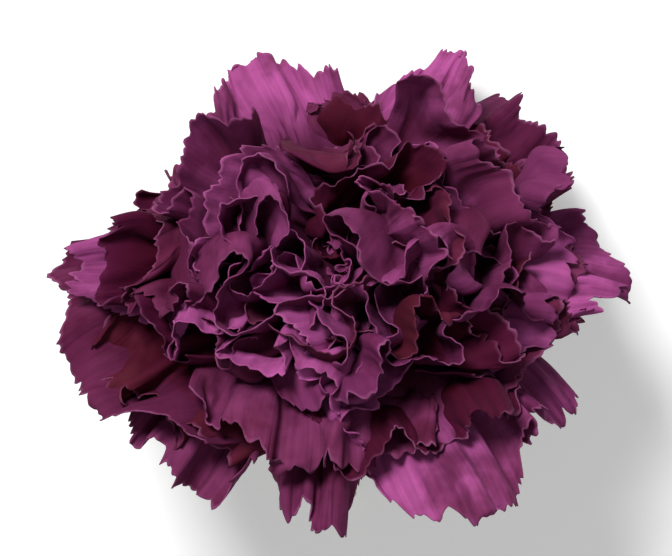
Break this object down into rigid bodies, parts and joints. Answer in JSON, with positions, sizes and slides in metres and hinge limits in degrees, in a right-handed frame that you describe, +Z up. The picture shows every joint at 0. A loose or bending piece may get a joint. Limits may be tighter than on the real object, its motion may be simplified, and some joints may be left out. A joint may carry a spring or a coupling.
{
  "type": "cut carnation",
  "caption": "Double carnation bloom with ruffled, saw-edged wine-purple petals in a green calyx, on a short cut stem, lying on its side.",
  "frame": {"origin": "on the table under the middle of the flower's box", "axes": "+Z up from the table, +Y the way the bloom faces along the table, away from the cut end of the stem, +X to the right as the picture shows the bloom"},
  "size_m": [0.079, 0.07, 0.0613],
  "materials": {
    "petal": "matte, velvety, thin enough to let light through",
    "green": "waxy, satin"
  },
  "bodies": {
    "root": {"bloom": "petal", "stem_and_calyx": "green"}
  },
  "joints": []
}
